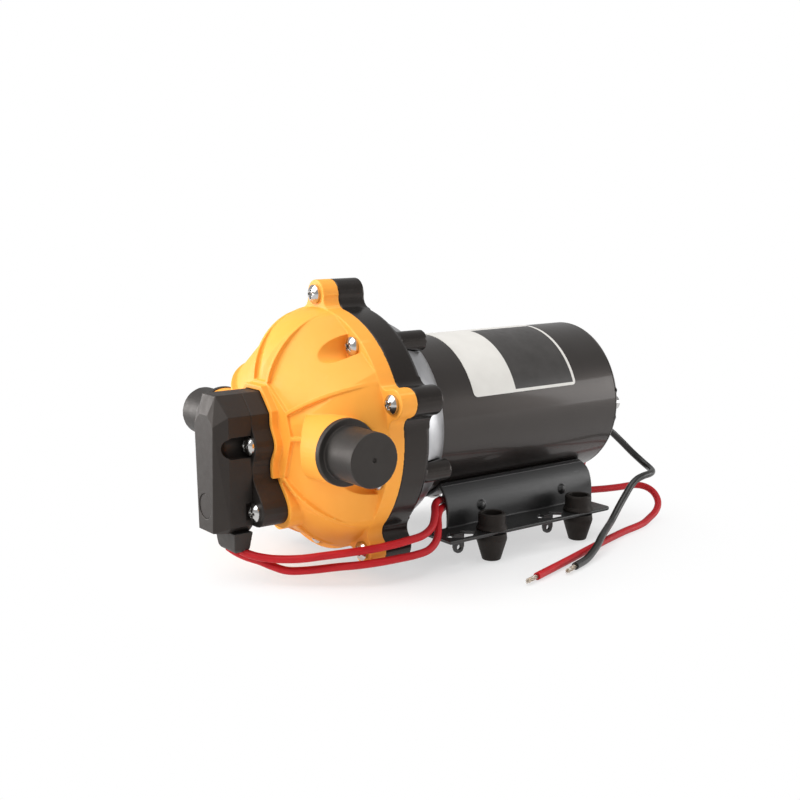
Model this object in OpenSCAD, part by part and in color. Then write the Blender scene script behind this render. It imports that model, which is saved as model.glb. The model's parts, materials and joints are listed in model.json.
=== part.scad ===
// Five-chamber diaphragm water pump with a permanent-magnet motor and a pressure switch.
// Frame: +Z up, +Y towards the motor, origin on the floor at the centre of the four foot screws.

/* [Base] */
// Height of the pump axis above the floor
axis_h = 63; // [61:1:72]
// Spacing of the foot screws across the pump
foot_x = 88; // [84:1:100]
// Spacing of the foot screws along the pump
foot_y = 56; // [50:1:60]
// Bore of each rubber foot for its screw
foot_bore = 5.2; // [4:0.1:6]
// Height of the bracket flange's upper face
plate_h = 14.5; // [13:0.5:16]
// Thickness of the bracket sheet
sheet_t = 1.6; // [1:0.1:2]
// Half width over the bracket's side walls
bracket_half_w = 31.7; // [31:0.1:33]
// Flange width outside each side wall
flange_out = 17.8; // [17:0.2:24]
// Total height of a rubber foot
foot_h = 22.3; // [20:0.1:25]

/* [Head] */
// Distance of the head's joint plane in front of the foot centre
joint_front = 87; // [86:1:100]
// Diameter of the head ring
head_d = 110; // [108:1:118]
// Radius of the circle of the lug screws
lug_circle = 60.5; // [60:0.5:65]
// Radius of a lug
lug_r = 6.4; // [5.5:0.1:7]
// Thickness of the front housing's flange
flange_t = 8; // [7:0.5:10]
// Length of the drive housing
drive_len = 14; // [14:0.5:18]
// Radius of the dome's rounded edge
dome_edge = 33.6; // [32.6:0.1:34]
// Radius of the flatter panels between the dome's bands
panel_edge = 38.1; // [37.6:0.1:39]
// Wall of the dome
dome_wall = 4; // [3:0.5:5]
// Distance of the switch pad in front of the joint plane
pad_depth = 37.5; // [37:0.5:38.5]
// Radius of the circle of the inner screws
inner_circle = 49.5; // [49:0.25:50.5]
// Height of a rib on the dome
rib_h = 1.1; // [0.8:0.1:1.8]

/* [Ports] */
// Distance of the port axis in front of the joint plane
port_front = 27.4; // [26:0.2:28]
// Outside diameter of the port thread
port_d = 20.9; // [20:0.1:21.2]
// Bore of a port
port_bore = 13; // [11:0.5:13.5]
// Distance of a port's shoulder from the pump's middle
port_shoulder = 50; // [48:0.5:54]
// Length of a port's threaded end
port_len = 19; // [16:0.5:20]
// Wall of a port cap
cap_wall = 0.9; // [0.7:0.1:1.2]

/* [Pump drive] */
// Radius of the circle of the pistons
piston_circle = 24; // [23.5:0.25:24.5]
// Radius of a pumping chamber
chamber_r = 10.5; // [10:0.1:11]
// Tilt of the wobble plate
tilt = 3; // [2:0.25:3.5]
// Thickness of the diaphragm
diaphragm_t = 2; // [1.5:0.1:2.2]

/* [Motor] */
// Outside diameter of the motor can
can_d = 76; // [75:0.5:77]
// Wall of the motor can
can_wall = 2; // [1.5:0.1:2.2]
// Length of the motor behind the drive housing
motor_len = 133.5; // [130:0.5:140]
// Diameter of the motor shaft
shaft_d = 8; // [8:0.1:8.4]
// Radius of the armature
armature_r = 29.4; // [28:0.1:29.5]
// Length of the armature core
armature_len = 48; // [40:1:52]
// Length of the label along the can
label_len = 65; // [50:1:70]

/* [Pressure switch] */
// Depth of the switch base
base_t = 11.9; // [11:0.1:14]
// Depth of the switch cover
cover_t = 15.9; // [15.5:0.1:20]
// Half width of the switch body
switch_half = 13; // [12.6:0.1:14]
// Radius of the adjuster plug
plug_r = 5.4; // [5:0.1:6]
// Travel of the plunger
plunger_travel = 1.2; // [0.5:0.1:1.6]

/* [Screws and leads] */
// Diameter of a screw's head
screw_head_d = 8.4; // [7.6:0.1:8.8]
// Diameter of a screw's shank
screw_d = 4; // [3.5:0.1:4.4]
// Diameter of a lead
lead_d = 3.5; // [3:0.1:3.9]

/* [Hidden] */
$fn = 64;

// Clearances: sliding fit, loose fit and the overlap of cuts
fit = 0.05;
loose = 0.3;
eps = 0.01;
cut = 1;

// Head
head_r = head_d / 2;
lugs = 5;
lug_step = 360 / lugs;
lug_fillet = 5;
drive_rear = -drive_len;
dome_front = pad_depth - 1;
dome_mid = dome_front - dome_edge;
dome_in = 0.4;
dome_ring = head_r - dome_in - sqrt(pow(dome_edge, 2) - pow(flange_t - dome_mid, 2));
panel_in = 3.6;
panel_mid = pad_depth - 0.8 - panel_edge;
panel_ring = head_r - panel_in - sqrt(pow(panel_edge, 2) - pow(flange_t - panel_mid, 2));
pad_r = 25.1;
band_angle = 12;
rib_w = 1.7;
rib_in = [5.6, 24.4];
rib_out = [10.6, head_r - 1.4];
pocket_r = screw_head_d / 2 + 1.9;
shank_r = screw_d / 2;
head_h = 3;
lip_len = 1.4;
lip_in = 0.6;
lip_clear = 1 + asin((lug_r + lug_fillet) / (head_r + lug_fillet));
body_boss_r = 4.7;
body_boss_len = 14.6;
body_screw_in = 24;

// Valve plate and chambers
plate_r = inner_circle - pocket_r - 2;
valve_t = 14;
chamber_depth = 8;
divider_in = 20;
divider_out = 23;
inside_front = pad_depth - 6.5;
socket_in = 5;
cap_in = port_d / 2 + 0.1;
cap_out = cap_in + cap_wall;
collar_r = cap_out + 2.8;
boss_r = port_d / 2 + 4.6;
boss_end_r = port_d / 2 + 3.3;
boss_foot = head_r - 23;
boss_rise = 7.3;
boss_in = divider_out + 4;
seal_r = (divider_in + divider_out) / 2;
seal_wire = 1;
seal_gap = 0.4;
seal_groove = 1.6;
valve_hole = 2;
inlet_at = piston_circle + 5.2;
outlet_at = piston_circle - 6.8;
flap_r = 4.4;
flap_t = 1.2;
stem_r = 1.2;
outlet_valve_r = divider_in - 0.6;
outlet_valve_t = 2;

// Diaphragm and wobble plate
diaphragm_r = plate_r + 2.6;
piston_r = chamber_r - 3.8;
roll_r = 1.2;
wall_t = 3;
piston_top = 10;
pivot = -diaphragm_t - piston_top;
cavity_r = piston_circle + chamber_r + 3;
wobble_r = cavity_r - 4.5;
wobble_front = piston_top - wall_t - wobble_r * sin(tilt) - 0.75;
wobble_t = 4.8;
collar_wall = 3;
retainer_t = 2;
piston_shank = shank_r - 0.5;
piston_screw_r = 3;
piston_screw_h = 1.6;

// Bearings: outside radius, bore radius, width and ball radius
wobble_brg = [14, shaft_d / 2 + 2, 7.6, 2.3];
motor_brg = [11, shaft_d / 2, 7, 1.9];

// Motor stations along the pump axis, measured forward from the joint plane
can_r = can_d / 2;
can_in = can_r - can_wall;
motor_end = drive_rear - motor_len;
bell_r = head_r - 5.5;
bell_len = 17.2;
can_front = drive_rear - bell_len;
bell_cavity = 8;
bell_web = can_front - 1;
spigot = 5;
lip_t = 1.6;
edge_r = 1.2;
cover_in = 8.5;
front_brg = drive_rear - bell_cavity - 1;
rear_brg = motor_end + 4;
magnet_t = can_in - armature_r - 0.7;
magnet_half = 60;
winding_len = 11;
winding_gap = 0.5;
commutator_r = 11;
commutator_len = 13;
commutator_gap = 6;
commutator_front = rear_brg + motor_brg[2] + commutator_gap + commutator_len;
core_rear = commutator_front + winding_gap + winding_len;
core_front = core_rear + armature_len;
magnet_over = 4;
brush_at = commutator_front - commutator_len / 2;
brush_w = 6;
brush_l = 8;
brush_len = 11;
brush_gap = 1.5;
brush_box = 2;
spring_room = 7;
bolt_circle = can_in - 2.6;
bolt_r = 2;
hub_flange = 2.5;
label_t = 0.2;
label_gap = 0.03;
label_from = -50;
label_to = 71;
label_mid = -joint_front;
grommet_r = 4.5;
grommet_out = 2;
negative_exit = [20, -15];
motor_exit = [2, -23];

// Bracket
saddle_half = 43;
shoulder_r = 22;
shoulder_x = bracket_half_w - shoulder_r;
shoulder_z = axis_h - 44;
leg_front = foot_y / 2 + 16;
leg_rear = foot_y / 2 + 22;
plate_front = foot_y / 2 + 29;
plate_rear = foot_y / 2 + 17.6;
corner_r = 7;
plate_corner = 2.5;
foot_neck = 5;
foot_r = 7.2;
foot_top_r = 6.4;
foot_head_r = 4.6;
foot_head_depth = 5;
slot_x = bracket_half_w + 10.9;
slot_ahead = 17.4;
slot_len = 17;
slot_w = 9.4;
tab_w = 6;
tab_x = slot_x - 1;
eye_r = 2.8;
eye_drop = 4.9;
stop_gap = 0.5;
stop_t = 1.2;
stop_drop = 2.4;
bump_r = 2.3;
bump_h = 1.1;

// Pressure switch outline, in the head's own frame
switch_top = 20.7;
bevel = 8.6;
top_flat = 5.4;
upper_screw = [switch_half - 1.5, -1.2];
lower_screw = [switch_half + 2.7, -29.5];
upper_out = 3.7;
upper_half = 9;
lower_r = 6.5;
rim_t = 2.3;
rim_h = 3.4;
rim_low = -16;
base_front = pad_depth + base_t;
cover_front = base_front + cover_t;
cover_chamfer = 4.9;
ridge_depth = 3.1;
face_top = switch_top - 8.3;
face_half = [3.5, 8, 6.2];
groove_r = screw_head_d / 2 + 0.6;
groove_len = 8.6;
cover_bottom = -38.5;
cover_half = switch_half - 0.2;
plug_y = -27.5;
plug_t = 2;
sense_r = 8.5;
sense_t = 1.5;
plunger_seat = pad_depth + sense_t;
plunger_r = 3;
plunger_flange = 6.8;
plunger_flange_t = 1.8;
plunger_out = 1.1;
spring_len = 5;
adjuster_r = 2.5;
adjuster_head = 3.6;
micro = [10, 20, 9];
boot_x = 4;
boot = [18, 9];
boot_h = 9;
boot_back = 4.7;

// Leads: their ends follow the boot and the grommets, and the rest is hand-laid
boot_end = [boot_x, -joint_front - base_front - boot_back, axis_h + cover_bottom - boot_h];
function grommet_end(spot) = [spot[0], -joint_front - motor_end + grommet_out, axis_h + spot[1]];
floor_z = lead_d / 2 + 0.05;
supply_route = concat(
    [for (p = [[-4.5, -0.4, 0], [-0.9, 1.5, -1.9], [3.4, 4.2, -3.5]]) boot_end + p],
    [
        [12, -132.8, 10.4], [16, -129.4, 8.6], [21, -125, 7], [26.4, -118.6, 7.2], [35.2, -107.6, 8.9],
        [40.4, -101.6, 9.8], [44.8, -94, 10.7], [47, -84.4, 11.2], [47.6, -75, 11.4], [47.2, -67.6, 12.2],
        [45, -61.6, 15], [40, -56.6, 19], [33, -51, 22.2], [26.5, -43, 23.3], [24, -33, 23.4],
        [24, -14, 23], [24, 12, 22.2], [24.2, 30, 20.6], [25.6, 48, 17.8], [27.2, 63, 16.6],
        [28.4, 74, 16.2], [30, 83.8, 16.2], [32.5, 88.4, 15.3], [35.6, 90.9, 13.3], [38.8, 91.1, 10.6],
        [41.7, 89.3, 7.6], [44.1, 84.8, 4.8], [46.2, 78, 2.9], [49.8, 68.4, floor_z + 0.2],
        [53.6, 51, floor_z], [61, 26, floor_z], [71.8, -7, floor_z], [80, -33, floor_z]
    ]
);
motor_route = concat(
    [for (p = [[4.5, 1.1, 0], [8, 3.2, -1.1], [11.2, 5.8, -1.9]]) boot_end + p],
    [
        [19.4, -130.4, 12.8], [27, -122.4, 13.2], [33.4, -113.6, 14.5], [39.4, -104.4, 15.8], [44, -96, 16.9],
        [47, -87, 18], [47.8, -78, 18.8], [47.4, -71, 19.5], [45.2, -64.4, 21.6], [40, -58.6, 24.8],
        [32.5, -52.5, 26.8], [25, -44.5, 26.4], [20, -35, 24.6], [18, -14, 23.8], [16.4, 12, 23.2],
        [15, 28, 22.4], [13, 42, 20.8], [11.2, 53, 19.4], [8, 61.4, 18.9], [4.8, 67.8, 20.6], [2.6, 72.8, 25]
    ],
    [for (p = [[0, 12.1, -8.5], [0, 11, -4.2], [0, 7.9, -1.1], [0, 3.6, 0], [0, 0, 0]])
        grommet_end(motor_exit) + p]
);
negative_route = concat(
    [for (p = [[0, 0, 0], [0, 4.5, 0], [0.8, 11, -2.9]]) grommet_end(negative_exit) + p],
    [
        [23, 78.9, 40], [27.1, 84.2, 33.3], [32.6, 86.9, 28.4], [37.5, 86.4, 26.4], [42.1, 83.2, 25.9],
        [45.1, 78.2, 25.9], [45.9, 72.6, 25.7], [46.1, 67.2, 24.5], [46.7, 62.4, 21.9], [47.9, 57.6, 18.5],
        [49.4, 51.7, 14.1], [53, 42.4, 8.6], [58, 34, 7.5], [64, 24.2, 6.4], [69.6, 14.8, 4.2],
        [75.2, 3, floor_z + 0.2], [79.6, -9, floor_z]
    ]
);
lead_sides = 8;
strand_r = 1.1;
strand_len = 9;

// Frames

// Pump axis frame: z forward from the joint plane, y up
module head() {
    translate([0, -joint_front, axis_h]) rotate([90, 0, 0]) children();
}

// Frame of the tilted hub, with its origin at the pivot
module tilted() {
    head() translate([0, 0, pivot]) rotate([tilt, 0, 0]) children();
}

// Copies round the pump axis, clockwise from a first angle as seen from the front
module around(first = 0, count = lugs) {
    for (i = [0 : count - 1]) rotate([0, 0, -first - i * 360 / count]) children();
}

// Copies at the inner screws, half a step from the lugs
module between_lugs() {
    around(lug_step / 2) translate([0, inner_circle, 0]) children();
}

// Shared shapes

// Cylinder between two stations of the axis
module bar(r, from, to) {
    translate([0, 0, min(from, to)]) cylinder(r = r, h = abs(to - from));
}

module ring(outer, inner, from, to) {
    difference() {
        bar(outer, from, to);
        bar(inner, min(from, to) - cut, max(from, to) + cut);
    }
}

// Outline of the head ring with its filleted lugs
module lug_outline() {
    fillet_x = lug_r + lug_fillet;
    fillet_y = sqrt(pow(head_r + lug_fillet, 2) - pow(fillet_x, 2));
    foot = head_r / (head_r + lug_fillet);
    circle(r = head_r, $fn = 128);
    around() {
        translate([0, lug_circle]) circle(r = lug_r);
        difference() {
            polygon([
                [-fillet_x * foot, fillet_y * foot], [-fillet_x, fillet_y], [-lug_r, lug_circle],
                [lug_r, lug_circle], [fillet_x, fillet_y], [fillet_x * foot, fillet_y * foot], [0, head_r - 8]
            ]);
            for (side = [-1, 1]) translate([side * fillet_x, fillet_y]) circle(r = lug_fillet);
        }
    }
}

// Pan-head screw with a cross recess, its head's seat at z = 0 and its shank downwards
module screw(length) {
    slot_d = screw_head_d / 2;
    difference() {
        union() {
            rotate_extrude() intersection() {
                translate([0, head_h - screw_head_d * 0.72]) circle(r = screw_head_d * 0.72);
                square([screw_head_d / 2, head_h]);
            }
            bar(shank_r, -length, eps);
        }
        for (turn = [0, 90]) rotate([0, 0, turn])
            translate([-slot_d / 2, -0.5, head_h - 1.6]) cube([slot_d, 1, 2]);
    }
}

// One race of a ball bearing, spec as [outside radius, bore radius, width, ball radius]
module race(spec, outer) {
    mid = (spec[0] + spec[1]) / 2;
    gap = spec[3] * 0.55;
    from = outer ? mid + gap : spec[1] + fit / 2;
    to = outer ? spec[0] : mid - gap;
    rotate_extrude() difference() {
        translate([from, -spec[2] / 2]) square([to - from, spec[2]]);
        translate([mid, 0]) circle(r = spec[3] + fit);
    }
}

module balls(spec) {
    mid = (spec[0] + spec[1]) / 2;
    count = floor(PI / asin(min(0.99, (spec[3] + 0.5) / mid)) * 180 / PI);
    for (i = [0 : count - 1]) rotate([0, 0, i * 360 / count]) translate([mid, 0, 0]) sphere(r = spec[3]);
}

// Right half of the switch outline, from the top down, grown by d
function switch_side(d) = concat(
    [[top_flat + d / 2, switch_top + d], [switch_half + d, switch_top - bevel + d / 2]],
    [for (i = [0 : 8]) let (t = i / 4 - 1)
        [switch_half + d + upper_out * (1 + cos(180 * t)) / 2, upper_screw[1] - t * upper_half]],
    [for (i = [0 : 6]) let (t = i / 7)
        [switch_half + d + (lower_screw[0] + lower_r - switch_half) * (1 - cos(180 * t)) / 2,
            upper_screw[1] - upper_half - 3 + t * (lower_screw[1] + upper_half + 3 - upper_screw[1])]],
    [for (a = [0 : -15 : -90])
        [lower_screw[0] + (lower_r + d) * cos(a), lower_screw[1] + (lower_r + d) * sin(a)]]
);

module switch_outline(d = 0) {
    right = switch_side(d);
    count = len(right);
    polygon(concat(right, [for (i = [1 : count]) [-right[count - i][0], right[count - i][1]]]));
}

// Outline of the switch cover behind its chamfers
module cover_outline() {
    polygon([
        [top_flat, switch_top], [cover_half, switch_top - bevel], [cover_half, cover_bottom + 3],
        [cover_half - 3, cover_bottom], [3 - cover_half, cover_bottom], [-cover_half, cover_bottom + 3],
        [-cover_half, switch_top - bevel], [-top_flat, switch_top]
    ]);
}

// Outline of the cover's front face, narrower at the bottom
module cover_face() {
    polygon([
        [face_half[0], face_top], [face_half[1], face_top - 4.6], [face_half[2], cover_bottom],
        [-face_half[2], cover_bottom], [-face_half[1], face_top - 4.6], [-face_half[0], face_top]
    ]);
}

module at_switch_screws() {
    for (side = [-1, 1]) for (spot = [upper_screw, lower_screw])
        translate([side * spot[0], spot[1], 0]) children();
}

// Port pieces: z points outwards along the port axis, side 1 is right and -1 is left
module port(side) {
    head() mirror([side > 0 ? 0 : 1, 0, 0]) translate([0, 0, port_front]) rotate([0, 90, 0]) children();
}

// Tube swept through a list of points, closed at both ends
function unit(v) = v / norm(v);
function heading(path, i) = unit(path[min(i + 1, len(path) - 1)] - path[max(i - 1, 0)]);
function side_of(v) = unit(cross(v, abs(v[2]) > 0.9 ? [0, 1, 0] : [0, 0, 1]));
function carried(path, i) = i == 0 ? side_of(heading(path, 0)) :
    let (before = carried(path, i - 1), ahead = heading(path, i)) unit(before - ahead * (before * ahead));

module lead(path) {
    count = len(path);
    r = lead_d / 2;
    rings = [for (i = [0 : count - 1])
        let (u = carried(path, i), v = cross(heading(path, i), u))
        for (k = [0 : lead_sides - 1])
            let (a = (k + 0.5) * 360 / lead_sides) path[i] + r * (u * cos(a) + v * sin(a))];
    walls = [for (i = [0 : count - 2]) for (k = [0 : lead_sides - 1])
        let (a = i * lead_sides + k, b = i * lead_sides + (k + 1) % lead_sides)
        each [[a, a + lead_sides, b], [b, a + lead_sides, b + lead_sides]]];
    first_end = [for (k = [1 : lead_sides - 2]) [0, k, k + 1]];
    tail = (count - 1) * lead_sides;
    last_end = [for (k = [1 : lead_sides - 2]) [tail, tail + k + 1, tail + k]];
    polyhedron(points = rings, faces = concat(walls, first_end, last_end));
}

// Head pieces

module front_housing() {
    color("orange") difference() {
        union() {
            difference() {
                union() {
                    head() linear_extrude(flange_t) lug_outline();
                    head() difference() {
                        dome();
                        between_lugs() bar(pocket_r, 0, pad_depth);
                        around() translate([0, lug_circle, 0]) bar(screw_head_d / 2 + loose, 0, pad_depth);
                    }
                    head() around() for (side = [-1, 1]) dome_rib(side);
                    head() translate([0, 0, flange_t]) linear_extrude(pad_depth - flange_t) pad_outline();
                    head() pad_rim();
                }
                for (side = [-1, 1]) port(side) bar(collar_r + 0.5, port_shoulder, port_shoulder + head_r);
            }
            for (side = [-1, 1]) port(side) port_body();
        }
        head() housing_hollow();
        head() around() translate([0, lug_circle, 0]) bar(shank_r + fit, -cut, flange_t + cut);
        head() between_lugs() bar(shank_r + fit, -cut, flange_t + cut);
        head() at_switch_screws() bar(shank_r + fit, pad_depth - 5, pad_depth + cut);
        for (side = [-1, 1]) port(side) {
            bar(port_bore / 2, port_shoulder - socket_in, port_shoulder + port_len + cut);
            bar(port_bore / 2 - 1, side > 0 ? divider_in - 2 : divider_out + 2, port_shoulder);
        }
        head() sense_passage();
    }
}

// Height of the dome's bands at a distance from the pump axis
function dome_height(r) = dome_mid + sqrt(max(0, pow(dome_edge, 2) - pow(r - dome_ring, 2)));

// Bun-shaped dome, flattened by a panel between each pair of lugs
module dome() {
    intersection() {
        rotate_extrude($fn = 128) intersection() {
            union() {
                translate([dome_ring, dome_mid]) circle(r = dome_edge, $fn = 128);
                square([dome_ring, dome_front]);
            }
            translate([0, flange_t / 2]) square([head_r, pad_depth]);
        }
        intersection_for (i = [0 : lugs - 1]) rotate([0, 0, -(i + 0.5) * lug_step]) dome_panel();
    }
}

// Solid behind one panel, with its curved side facing up
module dome_panel() {
    rotate([90, 0, 90]) linear_extrude(3 * head_r, center = true) {
        translate([panel_ring, panel_mid]) circle(r = panel_edge, $fn = 128);
        translate([-2 * head_r, 0]) square([2 * head_r + panel_ring, panel_mid + panel_edge]);
    }
}

// Rib along one side of a band, from the pad to the lug
module dome_rib(side) {
    steps = 14;
    from = [side * rib_in[0], rib_in[1]];
    run = [side * rib_out[0], rib_out[1]] - from;
    crest = [for (i = [0 : steps])
        [norm(run) * i / steps, rib_h + dome_height(norm(from + run * i / steps))]];
    translate([from[0], from[1], 0]) rotate([0, 0, atan2(run[1], run[0])]) rotate([90, 0, 0])
        linear_extrude(rib_w, center = true) polygon(concat([[norm(run), flange_t], [0, flange_t]], crest));
}

// Flat pad in the dome's middle, with the footprint of the switch
module pad_outline() {
    polygon([for (i = [0 : lugs - 1]) for (side = [-1, 1])
        pad_r * [sin(i * lug_step + side * band_angle), cos(i * lug_step + side * band_angle)]]);
    switch_outline(rim_t);
}

// Raised rim that locates the upper part of the switch base
module pad_rim() {
    translate([0, 0, pad_depth - 1]) linear_extrude(rim_h + 1) intersection() {
        difference() {
            switch_outline(rim_t);
            switch_outline(loose);
        }
        translate([-60, rim_low]) square([120, 60]);
    }
}

// Boss and threaded end of a port; the boss slopes to the dome on its front side
module port_body() {
    thread_pitch = 1.8;
    slope = 3 * head_r;
    difference() {
        translate([0, 0, boss_in]) cylinder(r1 = boss_r, r2 = boss_end_r, h = port_shoulder - boss_in);
        translate([-boss_rise, 0, boss_foot]) rotate([0, 135, 0])
            translate([0, -slope / 2, -slope / 2]) cube(slope);
    }
    difference() {
        bar(port_d / 2, port_shoulder - 1, port_shoulder + port_len);
        for (i = [1 : floor(port_len / thread_pitch) - 1])
            translate([0, 0, port_shoulder + i * thread_pitch]) rotate_extrude()
                translate([port_d / 2, 0]) polygon([[-0.7, 0], [cut, -0.9], [cut, 0.9]]);
    }
}

// Seat of the valve plate, inlet ring and outlet chamber inside the dome
module housing_hollow() {
    bar(plate_r + 0.2, -cut, valve_t);
    difference() {
        rotate_extrude($fn = 96) intersection() {
            union() {
                translate([panel_ring, panel_mid]) circle(r = panel_edge - dome_wall, $fn = 128);
                square([panel_ring, inside_front]);
            }
            translate([0, valve_t - eps]) square([plate_r - 1, inside_front - valve_t]);
        }
        ring(divider_out, divider_in, valve_t + seal_gap, inside_front + cut);
        translate([divider_in + 1, 0, port_front]) rotate([0, 90, 0])
            cylinder(r = port_bore / 2 + 3, h = head_r);
    }
    bar(divider_out + eps, valve_t - eps, valve_t + seal_gap);
}

// Slanted passage from the outlet chamber to the switch diaphragm
module sense_passage() {
    start = [0, 2 - divider_in, inside_front - 6];
    end = [0, plug_y, pad_depth + 0.5];
    lean = atan2(start[1] - end[1], end[2] - start[2]);
    length = norm(end - start);
    translate(end) rotate([-lean, 0, 0]) translate([0, 0, -length]) cylinder(r = 1.5, h = length + cut);
}

module drive_housing() {
    color([0.13, 0.13, 0.13]) head() difference() {
        union() {
            translate([0, 0, drive_rear]) linear_extrude(drive_len) lug_outline();
            between_lugs() bar(body_boss_r, drive_rear - body_boss_len, drive_rear + 1);
        }
        around() rotate([0, 0, 90 - lug_step + lip_clear]) lip_step();
        bar(diaphragm_r + 0.2, -diaphragm_t, cut);
        bar(cavity_r, drive_rear - cut, -diaphragm_t - wall_t);
        around() translate([0, piston_circle, 0]) bar(chamber_r, -diaphragm_t - wall_t - cut, cut);
        around() translate([0, lug_circle, 0]) bar(shank_r + fit, drive_rear + lip_len + 1.5, cut);
        between_lugs() bar(shank_r + fit, -body_screw_in - 2, cut);
    }
}

// Step cut round the ring's rear edge between two lugs
module lip_step() {
    translate([0, 0, drive_rear - cut]) rotate_extrude(angle = lug_step - 2 * lip_clear, $fn = 128)
        translate([head_r - lip_in, 0]) square([lip_in + cut, lip_len + cut]);
}

module valve_plate() {
    color("gainsboro") head() difference() {
        bar(plate_r, 0, valve_t);
        around() {
            translate([0, piston_circle, 0]) bar(chamber_r, -cut, chamber_depth);
            for (turn = [-9, 9]) rotate([0, 0, turn]) translate([0, inlet_at, 0])
                bar(valve_hole * 0.7, 0, valve_t + cut);
            translate([0, inlet_at, 0]) bar(stem_r + fit, 0, valve_t + cut);
            translate([0, outlet_at, 0]) bar(valve_hole, 0, valve_t + cut);
        }
        bar(stem_r * 2 + fit, 6, valve_t + cut);
        rotate_extrude() translate([seal_r - seal_wire - fit, valve_t - seal_groove])
            square([2 * (seal_wire + fit), seal_groove + cut]);
    }
}

// Rubber flaps over the inlet holes, one in each chamber
module inlet_valves() {
    color("dimgray") head() around() translate([0, inlet_at, 0]) {
        bar(flap_r, chamber_depth - flap_t, chamber_depth);
        bar(stem_r, chamber_depth - eps, valve_t + 1);
    }
}

module outlet_valve() {
    color("dimgray") head() {
        bar(outlet_valve_r, valve_t, valve_t + outlet_valve_t);
        bar(stem_r * 2, 7, valve_t + eps);
    }
}

module valve_seal() {
    color([0.1, 0.1, 0.1]) head() translate([0, 0, valve_t + seal_gap - seal_wire]) rotate_extrude()
        translate([seal_r, 0]) circle(r = seal_wire - 0.02, $fn = 32);
}

// Sheet of rubber with a rolled ring and a tilted disc at each piston
module diaphragm() {
    color([0.2, 0.2, 0.2]) {
        head() difference() {
            bar(diaphragm_r, -diaphragm_t, 0);
            around() translate([0, piston_circle, 0]) bar(chamber_r - roll_r, -diaphragm_t - cut, cut);
        }
        head() around() translate([0, piston_circle, -diaphragm_t / 2]) rotate_extrude()
            translate([chamber_r - roll_r - 0.2, 0]) circle(r = roll_r, $fn = 32);
        tilted() around() translate([0, piston_circle, 0])
            ring(piston_r + 1.9, piston_shank + fit, piston_top, piston_top + diaphragm_t);
    }
}

module wobble_plate() {
    color("ivory") tilted() difference() {
        union() {
            bar(wobble_r, wobble_front - wobble_t, wobble_front);
            around() translate([0, piston_circle, 0]) bar(piston_r, wobble_front - eps, piston_top);
            bar(wobble_brg[0] + collar_wall, -wobble_brg[2] / 2, wobble_front);
        }
        bar(wobble_brg[0] + fit / 2, -wobble_brg[2] / 2 - cut, min(wobble_brg[2] / 2, wobble_front - 0.6));
        bar(wobble_brg[0] - 2, -wobble_brg[2], wobble_front + cut);
        around() translate([0, piston_circle, 0])
            bar(piston_shank + fit, wobble_front - wobble_t - cut, piston_top + cut);
    }
}

module piston_retainers() {
    seat = piston_top + diaphragm_t;
    color("gainsboro") tilted() around() translate([0, piston_circle, 0])
        ring(piston_r, piston_shank + fit, seat, seat + retainer_t);
}

module piston_screws() {
    seat = piston_top + diaphragm_t + retainer_t;
    color("silver") tilted() around() translate([0, piston_circle, 0]) difference() {
        union() {
            bar(piston_screw_r, seat, seat + piston_screw_h);
            bar(piston_shank, wobble_front - wobble_t + 1, seat + eps);
        }
        bar(1.2, seat + 0.6, seat + piston_screw_h + cut);
    }
}

module wobble_bearing_outer() {
    color("silver") tilted() race(wobble_brg, true);
}

module wobble_bearing_inner() {
    color("silver") tilted() race(wobble_brg, false);
}

module wobble_bearing_balls() {
    color("lightgray") tilted() balls(wobble_brg);
}

// Bush that carries the wobble bearing on a journal tilted to the shaft
module skew_hub() {
    rear = drive_rear - bell_cavity + 0.3;
    color("slategray") difference() {
        union() {
            tilted() bar(wobble_brg[1], -wobble_brg[2] / 2 - 1, wobble_brg[2] / 2 - 0.3);
            tilted() bar(wobble_brg[1] + 1.6, -wobble_brg[2] / 2 - hub_flange, -wobble_brg[2] / 2);
            head() bar(wobble_brg[1] + 1, rear, pivot - wobble_brg[2] / 2 - hub_flange + 0.5);
        }
        head() bar(shaft_d / 2 + fit / 2, rear - cut, pivot + wobble_brg[2]);
    }
}

module lug_screws() {
    color("silver") head() around() translate([0, lug_circle, flange_t])
        screw(flange_t + drive_len - lip_len - 2);
}

module body_screws() {
    color("silver") head() between_lugs() translate([0, 0, flange_t]) screw(flange_t + body_screw_in);
}

// Rubber cup that closes a port, with a collar against the port's shoulder
module port_cap(side) {
    color([0.2, 0.2, 0.2]) port(side) difference() {
        union() {
            bar(cap_out, port_shoulder, port_shoulder + port_len + 2.4);
            bar(collar_r, port_shoulder, port_shoulder + 2.8);
        }
        bar(cap_in, port_shoulder - cut, port_shoulder + port_len + 0.4);
        bar(1, port_shoulder + port_len + 1.6, port_shoulder + port_len + 4);
    }
}

module right_port_cap() port_cap(1);

module left_port_cap() port_cap(-1);

// Motor pieces

// Cast end bell between the drive housing and the can
module motor_front_cover() {
    color("silver") head() difference() {
        union() {
            rotate_extrude($fn = 96) polygon([
                [0, drive_rear], [bell_r, drive_rear], [bell_r, drive_rear - 4],
                [bell_r - 1.4, drive_rear - 9], [bell_r - 3.4, drive_rear - 13],
                [bell_r - 6.5, can_front], [0, can_front]
            ]);
            bar(can_in - fit, can_front - spigot, can_front + eps);
        }
        bar(bell_r - 6, drive_rear - bell_cavity, drive_rear + cut);
        bar(motor_brg[0] + fit / 2, front_brg - motor_brg[2], drive_rear);
        bar(motor_brg[0] - 2, can_front - spigot - cut, drive_rear);
        bar(can_in - 5, can_front - spigot - cut, bell_web);
        between_lugs() bar(body_boss_r + 0.35, drive_rear - body_boss_len - 3, drive_rear + cut);
        for (side = [-1, 1]) translate([side * bolt_circle, 0, 0])
            bar(bolt_r + fit, can_front - spigot - cut, can_front + 4);
    }
}

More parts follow.
